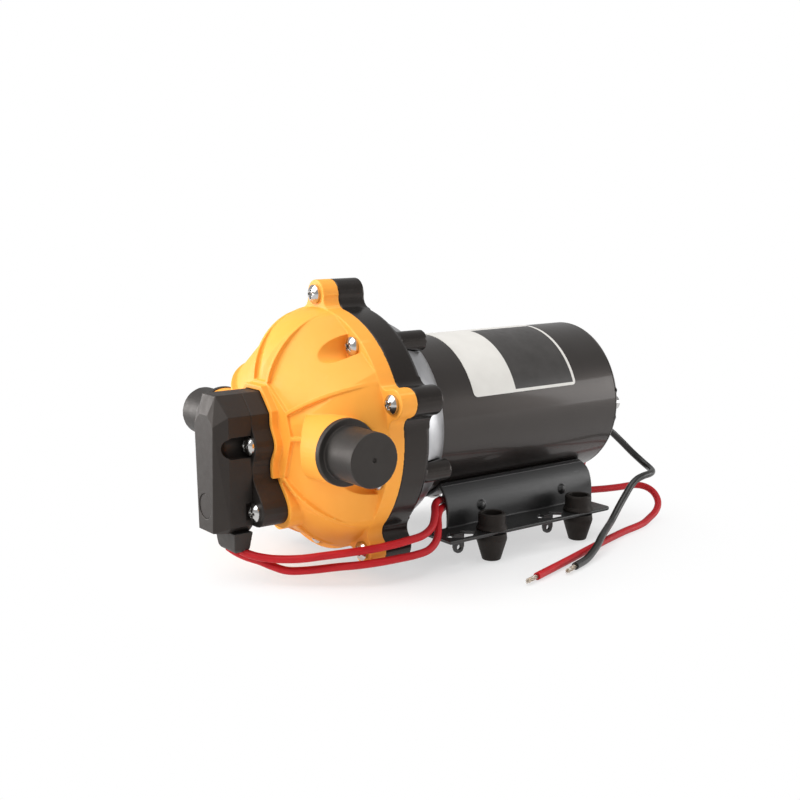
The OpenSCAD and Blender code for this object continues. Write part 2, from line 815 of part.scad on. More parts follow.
module motor_can() {
    color([0.06, 0.06, 0.06]) head() difference() {
        ring(can_r, can_in, motor_end + lip_t, can_front);
        for (along = [-0.5, 0.5]) translate([0, 0, -joint_front + along * foot_y]) rotate([90, 0, 0])
            cylinder(r = shank_r + fit, h = can_r + cut);
    }
}

module motor_rear_cover() {
    color([0.08, 0.08, 0.08]) head() difference() {
        union() {
            rotate_extrude($fn = 96) union() {
                translate([0, motor_end]) square([can_r - edge_r, lip_t]);
                translate([0, motor_end + edge_r]) square([can_r, lip_t - edge_r]);
                intersection() {
                    translate([can_r - edge_r, motor_end + edge_r]) circle(r = edge_r);
                    translate([0, motor_end]) square([can_r, lip_t]);
                }
            }
            ring(can_in - fit, can_in - 5.4, motor_end + lip_t - eps, motor_end + cover_in);
            bar(motor_brg[0] + 3, motor_end + 1, rear_brg + motor_brg[2]);
            bar(can_in - 5, motor_end + 1, motor_end + 3.5);
        }
        bar(motor_brg[0] + fit / 2, rear_brg, rear_brg + motor_brg[2] + cut);
        bar(motor_brg[0] - 2, rear_brg - 1, rear_brg + cut);
        for (side = [-1, 1]) translate([side * bolt_circle, 0, 0])
            bar(bolt_r + fit, motor_end - cut, motor_end + 20);
        for (spot = [negative_exit, motor_exit]) translate([spot[0], spot[1], 0])
            bar(grommet_r - 1, motor_end - cut, motor_end + 20);
    }
}

// A motor bearing's middle, front first
function brg_mid(i) = i == 0 ? front_brg - motor_brg[2] / 2 : rear_brg + motor_brg[2] / 2;

module motor_race(i, outer) {
    color("silver") head() translate([0, 0, brg_mid(i)]) race(motor_brg, outer);
}

module motor_balls(i) {
    color("lightgray") head() translate([0, 0, brg_mid(i)]) balls(motor_brg);
}

module front_bearing_outer() motor_race(0, true);

module front_bearing_inner() motor_race(0, false);

module front_bearing_balls() motor_balls(0);

module rear_bearing_outer() motor_race(1, true);

module rear_bearing_inner() motor_race(1, false);

module rear_bearing_balls() motor_balls(1);

module motor_shaft() {
    color("silver") head() bar(shaft_d / 2, rear_brg + 0.4, pivot + wobble_brg[2] / 2 - 0.6);
}

// Slotted stack of laminations
module armature_core() {
    slots = 12;
    color("gray") head() difference() {
        bar(armature_r, core_rear, core_front);
        bar(shaft_d / 2 + fit / 2, core_rear - cut, core_front + cut);
        for (i = [0 : slots - 1]) rotate([0, 0, i * 360 / slots]) {
            translate([armature_r - 4, -1, core_rear - cut]) cube([10, 2, armature_len + 2 * cut]);
            translate([armature_r - 7, 0, 0]) bar(3.4, core_rear - cut, core_front + cut);
        }
    }
}

// End turns of the coils, joined through the slots
module armature_windings() {
    slots = 12;
    coil_r = 3.1;
    inner = shaft_d / 2 + 4;
    color("chocolate") head() {
        for (station = [core_front + fit, core_rear - winding_len - fit])
            ring(armature_r - 2.5, inner, station, station + winding_len);
        for (i = [0 : slots - 1]) rotate([0, 0, i * 360 / slots]) translate([armature_r - 7, 0, 0])
            bar(coil_r, core_rear - 1, core_front + 1);
    }
}

module commutator() {
    segments = 12;
    color("peru") head() difference() {
        bar(commutator_r, commutator_front - commutator_len, commutator_front);
        bar(shaft_d / 2 + fit / 2, commutator_front - commutator_len - cut, commutator_front + cut);
        for (i = [0 : segments - 1]) rotate([0, 0, (i + 0.5) * 360 / segments])
            translate([commutator_r - 1, -0.3, commutator_front - commutator_len - cut])
                cube([3, 0.6, commutator_len - 1]);
    }
}

// Two arc magnets bonded inside the can
module magnets() {
    color("dimgray") head() for (turn = [90 - magnet_half, 270 - magnet_half])
        translate([0, 0, core_rear - magnet_over]) rotate([0, 0, turn])
            rotate_extrude(angle = 2 * magnet_half, $fn = 96)
                translate([can_in - fit - magnet_t, 0]) square([magnet_t, armature_len + 2 * magnet_over]);
}

// Insulating ring with a box round each brush
module brush_plate() {
    ring_from = motor_end + cover_in;
    box_w = brush_w + 2 * brush_box;
    box_l = brush_l + 2 * brush_box;
    box_end = commutator_r + brush_gap;
    box_to = box_end + brush_len + spring_room + brush_box;
    color("saddlebrown") head() difference() {
        union() {
            ring(can_in - loose, motor_brg[0] + 4, ring_from, ring_from + brush_box);
            for (side = [-1, 1]) translate([side > 0 ? box_end : -box_to, -box_w / 2, ring_from])
                cube([box_to - box_end, box_w, brush_at + box_l / 2 - ring_from]);
        }
        bar(motor_brg[0] + 3 + loose, ring_from - cut, rear_brg + motor_brg[2] + loose);
        for (side = [-1, 1]) {
            translate([side > 0 ? box_end - cut : brush_box - box_to, 0, brush_at])
                translate([0, -brush_w / 2 - fit, -brush_l / 2 - fit])
                cube([box_to - box_end - brush_box + cut, brush_w + 2 * fit, brush_l + 2 * fit]);
            translate([side * bolt_circle, 0, 0]) bar(bolt_r + fit, ring_from - cut, brush_at + box_l);
        }
    }
}

module brushes() {
    inner = commutator_r - 1;
    color([0.25, 0.25, 0.27]) head() for (side = [-1, 1]) difference() {
        translate([side > 0 ? inner : -inner - brush_len - 1, -brush_w / 2, brush_at - brush_l / 2])
            cube([brush_len + 1, brush_w, brush_l]);
        bar(commutator_r + fit, brush_at - brush_l, brush_at + brush_l);
    }
}

module brush_springs() {
    from = commutator_r + brush_len;
    to = commutator_r + brush_gap + brush_len + spring_room;
    color("goldenrod") head() for (side = [-1, 1])
        translate([0, 0, brush_at]) rotate([0, side * 90, 0]) ring(2.4, 1.6, from, to);
}

module through_bolts() {
    head_out = 2.6;
    color("silver") head() for (side = [-1, 1]) translate([side * bolt_circle, 0, 0]) difference() {
        union() {
            bar(bolt_r, motor_end - eps, can_front + 3);
            bar(bolt_r + 1.6, motor_end - head_out, motor_end);
        }
        translate([-0.5, -3, motor_end - head_out - cut]) cube([1, 6, 1.2 + cut]);
    }
}

// Blank label round the upper side of the can
module rating_label() {
    color("white") head() translate([0, 0, label_mid - label_len / 2]) rotate([0, 0, 90 - label_to])
        rotate_extrude(angle = label_to - label_from, $fn = 128)
            translate([can_r + label_gap, 0]) square([label_t, label_len]);
}

// Rubber bushes where the leads enter the motor
module lead_grommets() {
    color([0.1, 0.1, 0.1]) head() for (spot = [negative_exit, motor_exit]) translate([spot[0], spot[1], 0]) {
        bar(grommet_r, motor_end - grommet_out, motor_end);
        bar(grommet_r - 1 - fit, motor_end - eps, motor_end + 5);
    }
}

// Base pieces

module base_bracket() {
    saddle_in = can_r + fit;
    length = leg_front + leg_rear;
    color([0.1, 0.1, 0.1]) difference() {
        union() {
            translate([0, leg_rear, 0]) rotate([90, 0, 0]) linear_extrude(length) bracket_section();
            for (side = [-1, 1]) bracket_flange(side);
            for (side = [-1, 1]) at_bumps(side, bracket_half_w - sheet_t / 2) bump(sheet_t / 2);
        }
        translate([0, leg_rear + cut, axis_h]) rotate([90, 0, 0])
            cylinder(r = saddle_in, h = length + 2 * cut, $fn = 128);
        for (along = [-0.5, 0.5]) translate([0, along * foot_y, plate_h])
            cylinder(r = shank_r + fit, h = axis_h);
        for (side = [-1, 1]) at_bumps(side, bracket_half_w - sheet_t - cut) bump(cut);
        bracket_corner();
    }
}

// Places on a side wall's bumps, at a distance from the middle, with Z pointing outwards
module at_bumps(side, from) {
    for (along = [-0.42, 0.52]) translate([side * from, along * foot_y, shoulder_z + 3.4])
        rotate([0, side * 90, 0]) children();
}

// Round cap of a pressed bump, on a foot of some length
module bump(foot) {
    ball = (pow(bump_r, 2) + pow(bump_h, 2)) / (2 * bump_h);
    rotate_extrude($fn = 48) intersection() {
        union() {
            translate([0, foot + bump_h - ball]) circle(r = ball, $fn = 96);
            square([bump_r, foot]);
        }
        square([bump_r, foot + bump_h]);
    }
}

// Cut that rounds the upper rear corners of the side walls
module bracket_corner() {
    top = shoulder_z + shoulder_r - corner_r + 1;
    difference() {
        translate([-2 * bracket_half_w, leg_rear - corner_r, top - corner_r])
            cube([4 * bracket_half_w, corner_r + cut, axis_h]);
        translate([-3 * bracket_half_w, leg_rear - corner_r, top - corner_r]) rotate([0, 90, 0])
            cylinder(r = corner_r, h = 6 * bracket_half_w);
    }
}

// Section of the bracket across the pump: saddle, rounded shoulders and side walls
module bracket_section() {
    saddle_out = can_r + sheet_t;
    difference() {
        translate([0, axis_h]) circle(r = saddle_out, $fn = 128);
        translate([-60, axis_h - can_r * cos(saddle_half)]) square([120, 120]);
    }
    for (side = [-1, 1]) {
        intersection() {
            translate([side * shoulder_x, shoulder_z]) difference() {
                circle(r = shoulder_r, $fn = 96);
                circle(r = shoulder_r - sheet_t, $fn = 96);
            }
            translate([side > 0 ? shoulder_x + 10 : -60 - shoulder_x - 10, shoulder_z])
                square([60, shoulder_r]);
        }
        translate([side > 0 ? bracket_half_w - sheet_t : -bracket_half_w, plate_h - sheet_t])
            square([sheet_t, shoulder_z - plate_h + sheet_t]);
    }
}

// Flange of one side, with its foot holes, slots, hanging eyelets and the stops beside each foot
module bracket_flange(side) {
    inner = bracket_half_w - sheet_t;
    outer = bracket_half_w + flange_out;
    difference() {
        translate([0, 0, plate_h - sheet_t]) linear_extrude(sheet_t) polygon([
            [side * inner, -plate_front], [side * outer, -plate_front],
            [side * outer, plate_rear - plate_corner],
            [side * (outer - plate_corner * 0.3), plate_rear - plate_corner * 0.3],
            [side * (outer - plate_corner), plate_rear], [side * inner, plate_rear]
        ]);
        for (along = [-0.5, 0.5]) {
            translate([side * foot_x / 2, along * foot_y, 0]) cylinder(r = foot_neck + fit, h = axis_h);
            translate([side * slot_x, along * foot_y - slot_ahead, 0]) linear_extrude(axis_h) polygon([
                [0, -slot_len / 2], [slot_w / 2, -tab_w / 2], [slot_w / 2, tab_w / 2],
                [0, slot_len / 2], [-slot_w / 2, tab_w / 2], [-slot_w / 2, -tab_w / 2]
            ]);
        }
    }
    for (along = [-0.5, 0.5]) {
        translate([0, along * foot_y - slot_ahead, 0]) bracket_eyelet(side);
        for (end = [-1, 1])
            translate([side * slot_x, along * foot_y + end * (foot_r + stop_gap + stop_t / 2), 0])
                translate([-stop_t, -stop_t / 2, plate_h - sheet_t - stop_drop])
                cube([2 * stop_t, stop_t, stop_drop + eps]);
    }
}

// Tongue from the inner edge of a slot, bent down and ending in a round eye
module bracket_eyelet(side) {
    root = slot_x - slot_w / 2 - cut;
    eye_z = plate_h - sheet_t - eye_drop;
    mirror([side > 0 ? 0 : 1, 0, 0]) difference() {
        union() {
            translate([root, -tab_w / 2, plate_h - sheet_t]) cube([tab_x - root, tab_w, sheet_t]);
            translate([tab_x - sheet_t, -tab_w / 2, eye_z])
                cube([sheet_t, tab_w, plate_h - sheet_t - eye_z + eps]);
            translate([tab_x - sheet_t, 0, eye_z]) rotate([0, 90, 0]) cylinder(r = eye_r, h = sheet_t);
        }
        translate([tab_x - sheet_t - cut, 0, eye_z]) rotate([0, 90, 0])
            cylinder(r = eye_r - sheet_t, h = sheet_t + 2 * cut);
    }
}

module bracket_screws() {
    color("silver") for (along = [-0.5, 0.5])
        translate([0, along * foot_y, axis_h - can_r - sheet_t]) rotate([180, 0, 0])
            screw(sheet_t + can_wall - 0.2);
}

// Rubber foot with a groove round the flange
module foot(x_side, y_side) {
    low = plate_h - sheet_t;
    color([0.12, 0.12, 0.12]) translate([x_side * foot_x / 2, y_side * foot_y / 2, 0])
        rotate_extrude() polygon([
            [foot_bore / 2, 0], [foot_r - 3.2, 0], [foot_r - 2.8, 0.4], [foot_r - 0.1, low - 3.4],
            [foot_r, low - 2.6], [foot_r - 0.3, low], [foot_neck, low], [foot_neck, plate_h],
            [foot_r, plate_h], [foot_r, plate_h + 1], [foot_top_r, plate_h + 2.6], [foot_top_r, foot_h - 0.7],
            [foot_top_r - 0.5, foot_h], [foot_head_r, foot_h], [foot_head_r, foot_h - foot_head_depth],
            [foot_bore / 2, foot_h - foot_head_depth]
        ]);
}

module foot_front_right() foot(1, -1);

module foot_front_left() foot(-1, -1);

module foot_rear_right() foot(1, 1);

module foot_rear_left() foot(-1, 1);

// Pressure switch pieces

module switch_base() {
    color([0.1, 0.1, 0.1]) head() difference() {
        translate([0, 0, pad_depth]) linear_extrude(base_t) switch_outline();
        at_switch_screws() bar(shank_r + fit, pad_depth - cut, base_front + cut);
        translate([0, plug_y, 0]) {
            bar(sense_r + fit, pad_depth - cut, pad_depth + sense_t);
            bar(plunger_flange + 0.7, pad_depth - cut,
                plunger_seat + plunger_flange_t + plunger_travel + 0.4);
            bar(plunger_r + fit, pad_depth, base_front + cut);
        }
    }
}

module switch_cover() {
    seat = cover_front - cover_chamfer;
    color([0.16, 0.16, 0.16]) head() difference() {
        union() {
            translate([0, 0, base_front]) linear_extrude(seat - base_front) cover_outline();
            hull() {
                translate([0, 0, seat - 0.1]) linear_extrude(0.1) cover_outline();
                translate([-top_flat, switch_top - 1, cover_front - ridge_depth])
                    cube([2 * top_flat, 1, 0.1]);
                translate([0, 0, cover_front - 0.1]) linear_extrude(0.1) cover_face();
            }
        }
        cover_hollow();
        for (side = [-1, 1]) {
            translate([side * upper_screw[0], upper_screw[1], base_front + groove_len]) {
                bar(groove_r, -groove_len - cut, 0);
                sphere(r = groove_r);
            }
            translate([side * lower_screw[0], lower_screw[1], base_front])
                bar(groove_r, -cut, head_h + loose);
        }
        translate([0, plug_y, 0]) {
            bar(plug_r + fit, cover_front - plug_t, cover_front + cut);
            bar(adjuster_head + 0.4, cover_front - plug_t - 2.6, cover_front);
            bar(adjuster_r + fit, base_front, cover_front);
        }
    }
}

// Room inside the cover for the microswitch and the spring
module cover_hollow() {
    width = micro[0] + 1;
    translate([-width / 2, upper_screw[1] - 12.5, base_front - cut])
        cube([width, micro[1] + 6, micro[2] + 1 + cut]);
    translate([0, plug_y, 0]) bar(4.2, base_front - cut, base_front + plunger_out + spring_len + 0.1);
}

// Round plug over the adjuster
module switch_plug() {
    color([0.18, 0.18, 0.18]) head() translate([0, plug_y, 0])
        bar(plug_r, cover_front - plug_t, cover_front - 0.3);
}

module switch_diaphragm() {
    color([0.2, 0.2, 0.2]) head() translate([0, plug_y, 0]) bar(sense_r, pad_depth, pad_depth + sense_t);
}

module switch_plunger() {
    color("ivory") head() translate([0, plug_y, 0]) {
        bar(plunger_flange, plunger_seat, plunger_seat + plunger_flange_t);
        bar(plunger_r, plunger_seat, base_front + plunger_out);
    }
}

module switch_spring() {
    color("silver") head() translate([0, plug_y, 0])
        ring(2.8, 1.9, base_front + plunger_out, base_front + plunger_out + spring_len);
}

// Snap-action switch on the base, in front of the plunger's lever
module microswitch() {
    color([0.35, 0.08, 0.08]) head() translate([-micro[0] / 2, upper_screw[1] - 10, base_front]) cube(micro);
}

module adjusting_screw() {
    from = base_front + plunger_out + spring_len;
    seat = cover_front - plug_t - 2.4;
    color("silver") head() translate([0, plug_y, 0]) difference() {
        union() {
            bar(adjuster_r, from, seat + eps);
            bar(adjuster_head, seat, seat + 2);
        }
        translate([-0.5, -5, seat + 1]) cube([1, 10, 2]);
    }
}

module switch_screws() {
    color("silver") head() at_switch_screws() translate([0, 0, base_front]) screw(base_t + 4.6);
}

// Rubber boot under the switch, where its two leads come out
module cable_boot() {
    slice = 0.1;
    color([0.17, 0.17, 0.17]) head() translate([boot_x, cover_bottom, base_front + boot_back])
        rotate([90, 0, 0]) hull() {
            linear_extrude(slice) square(boot, center = true);
            translate([0, 0, boot_h - 1.5]) linear_extrude(slice) square(boot - [3, 1.5], center = true);
            translate([0, 0, boot_h - slice]) linear_extrude(slice) square(boot - [5, 3], center = true);
        }
}

// Leads

module supply_lead() {
    color("crimson") lead(supply_route);
}

module motor_lead() {
    color("crimson") lead(motor_route);
}

module negative_lead() {
    color([0.12, 0.12, 0.12]) lead(negative_route);
}

// Bare tinned ends of the two free leads
module lead_strands() {
    color("lightgray") for (path = [supply_route, negative_route]) {
        last = len(path) - 1;
        ahead = unit(path[last] - path[last - 1]);
        translate(path[last]) rotate([0, acos(ahead[2]), atan2(ahead[1], ahead[0])])
            cylinder(r = strand_r, h = strand_len);
    }
}

front_housing();
drive_housing();
valve_plate();
inlet_valves();
outlet_valve();
valve_seal();
diaphragm();
wobble_plate();
piston_retainers();
piston_screws();
wobble_bearing_outer();
wobble_bearing_inner();
wobble_bearing_balls();
skew_hub();
lug_screws();
body_screws();
right_port_cap();
left_port_cap();
motor_front_cover();
motor_can();
motor_rear_cover();
front_bearing_outer();
front_bearing_inner();
front_bearing_balls();
rear_bearing_outer();
rear_bearing_inner();
rear_bearing_balls();
motor_shaft();
armature_core();
armature_windings();
commutator();
magnets();
brush_plate();
brushes();
brush_springs();
through_bolts();
rating_label();
lead_grommets();
base_bracket();
bracket_screws();
foot_front_right();
foot_front_left();
foot_rear_right();
foot_rear_left();
switch_base();
switch_cover();
switch_plug();
switch_diaphragm();
switch_plunger();
switch_spring();
microswitch();
adjusting_screw();
switch_screws();
cable_boot();
supply_lead();
motor_lead();
negative_lead();
lead_strands();
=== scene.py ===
import json
import math
import random

import bmesh
import bpy
from mathutils import Matrix, Vector


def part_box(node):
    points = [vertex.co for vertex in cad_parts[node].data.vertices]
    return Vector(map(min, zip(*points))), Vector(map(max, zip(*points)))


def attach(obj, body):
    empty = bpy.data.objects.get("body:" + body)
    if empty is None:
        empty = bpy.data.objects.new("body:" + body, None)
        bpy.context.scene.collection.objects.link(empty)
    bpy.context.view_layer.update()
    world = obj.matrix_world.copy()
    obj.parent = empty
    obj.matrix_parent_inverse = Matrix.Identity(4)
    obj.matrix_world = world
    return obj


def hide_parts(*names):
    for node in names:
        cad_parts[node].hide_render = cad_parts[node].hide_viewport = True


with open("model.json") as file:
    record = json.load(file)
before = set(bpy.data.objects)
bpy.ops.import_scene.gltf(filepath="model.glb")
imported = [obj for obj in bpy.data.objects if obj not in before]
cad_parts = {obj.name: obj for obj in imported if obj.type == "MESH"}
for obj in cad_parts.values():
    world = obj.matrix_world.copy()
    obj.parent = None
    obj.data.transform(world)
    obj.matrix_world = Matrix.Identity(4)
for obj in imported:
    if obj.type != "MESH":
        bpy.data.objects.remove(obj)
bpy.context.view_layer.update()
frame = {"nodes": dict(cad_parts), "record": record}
NODES = frame["nodes"]
SLOT_OF = {s["node"]: s["material_slot"] for s in frame["record"]["subparts"]}
BODY_OF = {n: b for b, ns in frame["record"]["behaviour"]["bodies"].items() for n in ns}
scene = bpy.context.scene
scene.view_settings.view_transform = "Standard"
MM = 0.001
AXIS_Z = 63 * MM
LABEL_R = 38.2 * MM


def link(obj):
    scene.collection.objects.link(obj)
    return obj


# Camera, fitted to the photograph: angles in degrees, lengths in millimetres, the focal length in pixels
IMAGE = 800
FOCAL_PX = 1219.083
SENSOR = 36
TARGET = Vector((11.854, -56.971, 73.471)) * MM
AZIMUTH, ELEVATION, DISTANCE = math.radians(53.029), math.radians(9.687), 562.638 * MM

camera = link(bpy.data.objects.new("camera", bpy.data.cameras.new("camera")))
back = Vector((
    math.sin(AZIMUTH) * math.cos(ELEVATION),
    -math.cos(AZIMUTH) * math.cos(ELEVATION),
    math.sin(ELEVATION),
))
camera.location = TARGET + back * DISTANCE
camera.rotation_euler = back.to_track_quat("Z", "Y").to_euler()
camera.data.sensor_fit = "HORIZONTAL"
camera.data.sensor_width = SENSOR
camera.data.lens = FOCAL_PX / IMAGE * SENSOR
camera.data.clip_start = 0.01
scene.camera = camera


# Materials
class Nodes:
    """Adds nodes to a node tree, with each input set to a value or linked to another node's output."""

    def __init__(self, tree):
        self.tree = tree

    def put(self, socket, value):
        if hasattr(value, "is_output"):
            self.tree.links.new(value, socket)
        else:
            socket.default_value = value

    def node(self, kind, inputs=(), **props):
        n = self.tree.nodes.new(kind)
        for k, v in props.items():
            setattr(n, k, v)
        for socket, value in dict(inputs).items():
            self.put(n.inputs[socket], value)
        return n

    def math(self, op, a, b=0.0, clamp=False):
        return self.node("ShaderNodeMath", {0: a, 1: b}, operation=op, use_clamp=clamp).outputs[0]


class Shader(Nodes):
    """A Principled material whose colour, roughness and bump come from noise in object space."""

    def __init__(self, name):
        self.mat = bpy.data.materials.new(name)
        self.mat.use_nodes = True
        super().__init__(self.mat.node_tree)
        self.bsdf = self.tree.nodes["Principled BSDF"]
        self.coords = self.tree.nodes.new("ShaderNodeTexCoord").outputs["Object"]

    def noise(self, scale, detail=3.0, rough=0.55, stretch=None):
        at = self.coords
        if stretch:
            at = self.node("ShaderNodeMapping", {"Vector": at, "Scale": stretch}).outputs[0]
        return self.node(
            "ShaderNodeTexNoise", {"Vector": at, "Scale": scale, "Detail": detail, "Roughness": rough}
        ).outputs["Fac"]

    def spread(self, fac, low, high, start=0.3, end=0.7):
        return self.node(
            "ShaderNodeMapRange",
            {"Value": fac, "From Min": start, "From Max": end, "To Min": low, "To Max": high},
        ).outputs[0]

    def mix(self, fac, a, b):
        factor, first, second, colour = 0, 6, 7, 2
        n = self.node("ShaderNodeMix", data_type="RGBA")
        self.put(n.inputs[factor], fac)
        self.put(n.inputs[first], a)
        self.put(n.inputs[second], b)
        return n.outputs[colour]

    def set(self, **values):
        names = {"spec": "Specular IOR Level", "coat": "Coat Weight", "coat_rough": "Coat Roughness",
                 "metal": "Metallic", "tint": "Specular Tint"}
        for k, v in values.items():
            self.put(self.bsdf.inputs[names.get(k, k)], v)
        return self

    def bump(self, height, strength, distance):
        n = self.node("ShaderNodeBump", {"Height": height, "Strength": strength, "Distance": distance})
        self.tree.links.new(n.outputs[0], self.bsdf.inputs["Normal"])
        return self


def rgb(r, g, b):
    return (r, g, b, 1.0)


WARM = rgb(1.0, 0.87, 0.8)
# Pointiness range over which convex edges take the edge colour: partly edge wear, partly a painted highlight
# along the edges
EDGE_WEAR_HIGHLIGHT_FROM, EDGE_WEAR_HIGHLIGHT_TO = 0.52, 0.6


def surface(name, low, high, rough, grain, depth, *, blotch=45, edge=None, strength=0.35, **extra):
    """Colour between two tones in broad blotches, roughness range, and a fine grain of a depth in metres."""
    s = Shader(name)
    colour = s.mix(s.spread(s.noise(blotch, 4.0), 0.0, 1.0), rgb(*low), rgb(*high))
    # Convex edges lightened towards the edge colour: partly edge wear, partly a painted highlight along the
    # edges
    if edge:
        point = s.node("ShaderNodeNewGeometry").outputs["Pointiness"]
        edge_mask = s.spread(point, 0.0, 1.0, EDGE_WEAR_HIGHLIGHT_FROM, EDGE_WEAR_HIGHLIGHT_TO)
        wear_and_highlight = s.math("MULTIPLY", edge_mask, s.spread(s.noise(260), 0.4, 1.0))
        colour = s.mix(wear_and_highlight, colour, rgb(*edge))
    fine = s.noise(grain, 2.0)
    s.set(**{"Base Color": colour, "Roughness": s.spread(s.noise(blotch * 6, 3.0), *rough)}, **extra)
    return s.bump(fine, strength, depth).mat


def can_paint():
    """Black gloss over drawn steel: faint streaks round the can in the gloss and relief, and broad clouds in
    the colour.
    """
    s = Shader("can_paint")
    streak = s.noise(1500, 3.0, 0.6, stretch=(0.02, 1.0, 0.02))
    cloud = s.noise(60, 4.0)
    s.set(**{
        "Base Color": s.mix(s.spread(cloud, 0.0, 1.0), rgb(0.009, 0.0076, 0.007), rgb(0.013, 0.0112, 0.0102)),
        "Roughness": s.math("ADD", s.spread(streak, 0.3, 0.4), s.spread(cloud, -0.02, 0.02)),
        "spec": 0.5, "tint": WARM, "coat": 0.35, "coat_rough": 0.08})
    return s.bump(s.math("ADD", streak, s.math("MULTIPLY", s.noise(420, 2.0), 0.4)), 0.12, 0.00003).mat


# Each edge colour is a lighter tone for convex edges: partly edge wear, partly a painted highlight
MATERIALS = {
    "housing_orange": surface(
        "moulded_orange", (0.92, 0.365, 0.042), (0.955, 0.395, 0.053), (0.45, 0.55), 2600, 0.00006,
        edge=(0.98, 0.5, 0.1), strength=0.25, spec=0.3),
    "drive_black": surface(
        "moulded_black", (0.0085, 0.0075, 0.007), (0.0125, 0.0112, 0.0104), (0.2, 0.27), 2200, 0.00004,
        strength=0.12, spec=0.4, tint=WARM),
    "inner_plastic": surface(
        "natural_plastic", (0.6, 0.58, 0.52), (0.68, 0.66, 0.6), (0.45, 0.55), 1800, 0.00006),
    "seal_rubber": surface(
        "seal_rubber", (0.012, 0.012, 0.012), (0.02, 0.02, 0.02), (0.7, 0.85), 2400, 0.0001),
    "screw_steel": surface(
        "plated_steel", (0.5, 0.49, 0.475), (0.6, 0.59, 0.58), (0.1, 0.2), 900, 0.00003,
        blotch=320, strength=0.2, metal=1.0),
    "bearing_steel": surface(
        "ground_steel", (0.5, 0.5, 0.5), (0.58, 0.58, 0.58), (0.2, 0.3), 1600, 0.00003, metal=1.0),
    "cap_rubber": surface(
        "cap_rubber", (0.016, 0.015, 0.014), (0.024, 0.0228, 0.0212), (0.42, 0.54), 2600, 0.00008,
        edge=(0.07, 0.068, 0.065), strength=0.3, spec=0.4, tint=WARM),
    "can_paint": can_paint(),
    "core_steel": surface(
        "core_steel", (0.12, 0.12, 0.12), (0.18, 0.18, 0.18), (0.4, 0.55), 1400, 0.00006, metal=0.6),
    "copper": surface(
        "enamelled_copper", (0.46, 0.16, 0.05), (0.6, 0.24, 0.09), (0.25, 0.4), 1400, 0.00008, metal=0.9),
    "carbon": surface("carbon", (0.02, 0.02, 0.022), (0.04, 0.04, 0.042), (0.5, 0.65), 1800, 0.0001),
    "bracket_paint": surface(
        "bracket_paint", (0.0085, 0.0083, 0.0083), (0.012, 0.0118, 0.0118), (0.34, 0.42), 1500, 0.00003,
        blotch=70, edge=(0.045, 0.045, 0.045), strength=0.1, spec=0.7),
    "foot_rubber": surface(
        "foot_rubber", (0.008, 0.007, 0.0062), (0.015, 0.0132, 0.012), (0.5, 0.66), 2200, 0.0001,
        edge=(0.045, 0.041, 0.037), spec=0.3, tint=WARM),
    "switch_plastic": surface(
        "switch_plastic", (0.0075, 0.0064, 0.0056), (0.0115, 0.01, 0.009), (0.46, 0.56), 2800, 0.00008,
        strength=0.3, spec=0.5, tint=WARM),
    "lead_red": surface(
        "red_sheath", (0.46, 0.008, 0.014), (0.55, 0.014, 0.02), (0.38, 0.5), 1500, 0.00004,
        blotch=90, spec=0.25),
    "lead_black": surface(
        "black_sheath", (0.012, 0.0115, 0.01), (0.022, 0.021, 0.019), (0.26, 0.38), 1500, 0.00004, blotch=90),
    "strand_tin": surface(
        "tinned_strand", (0.55, 0.42, 0.3), (0.7, 0.66, 0.6), (0.25, 0.4), 2400, 0.00003,
        blotch=500, metal=1.0),
}


def cast_alloy():
    """Bright cast ring with fine turning marks round the pump axis."""
    mark = 0.0007
    s = Shader("cast_alloy")
    y = s.node("ShaderNodeSeparateXYZ", {0: s.coords}).outputs[1]
    turned = s.math("SINE", s.math("MULTIPLY", y, 2 * math.pi / mark))
    cloud = s.noise(160, 4.0)
    s.set(**{
        "Base Color": s.mix(s.spread(cloud, 0.0, 1.0), rgb(0.42, 0.42, 0.43), rgb(0.5, 0.5, 0.51)),
        "Roughness": s.spread(s.noise(420), 0.32, 0.4), "metal": 1.0})
    return s.bump(turned, 0.1, 0.00002).mat


def label_film():
    """Blank two-tone film: a dark panel with a pale rim on a white ground, set out by angle and length."""
    ends, angles = (-6.8, 31), (3, 69)
    s = Shader("label_film")
    xyz = s.node("ShaderNodeSeparateXYZ", {0: s.coords}).outputs
    arc = s.math("MULTIPLY", s.math("ARCTAN2", xyz[0], s.math("SUBTRACT", xyz[2], AXIS_Z)), LABEL_R)

    def inside(value, low, high, soft=0.00012):
        half = (high - low) / 2
        off = s.math("ABSOLUTE", s.math("SUBTRACT", value, (high + low) / 2))
        return s.math("DIVIDE", s.math("SUBTRACT", half, off), soft, clamp=True)

    along = inside(xyz[1], *(y * MM for y in ends))
    panel = s.math("MULTIPLY", along, inside(arc, *(math.radians(a) * LABEL_R for a in angles)))
    paper = s.mix(s.spread(s.noise(90), 0.0, 1.0), rgb(0.68, 0.66, 0.62), rgb(0.73, 0.71, 0.67))
    ink = s.mix(s.spread(s.noise(140), 0.0, 1.0), rgb(0.034, 0.031, 0.029), rgb(0.046, 0.042, 0.04))
    s.set(**{"Base Color": s.mix(panel, paper, ink), "Roughness": s.spread(s.noise(300), 0.3, 0.4)})
    return s.bump(s.noise(900), 0.12, 0.00004).mat


MATERIALS["cast_alloy"] = cast_alloy()
MATERIALS["label_film"] = label_film()


# Pieces
# Angles in degrees: flatter faces are merged, and sharper edges are rounded or kept sharp
FLAT = 0.4
BEVEL_FROM = 32
SHARP_FROM = 40
CRISP_FROM = 30
WELD = 2e-6


def dress(obj, slot):
    obj.data.materials.clear()
    obj.data.materials.append(MATERIALS[slot])
    return obj


for name, obj in NODES.items():
    dress(obj, SLOT_OF[name])


def stand_for(obj, node):
    """Puts a finished piece in the place of a CAD node."""
    dress(obj, SLOT_OF[node])
    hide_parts(node)
    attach(obj, BODY_OF[node])
    return obj


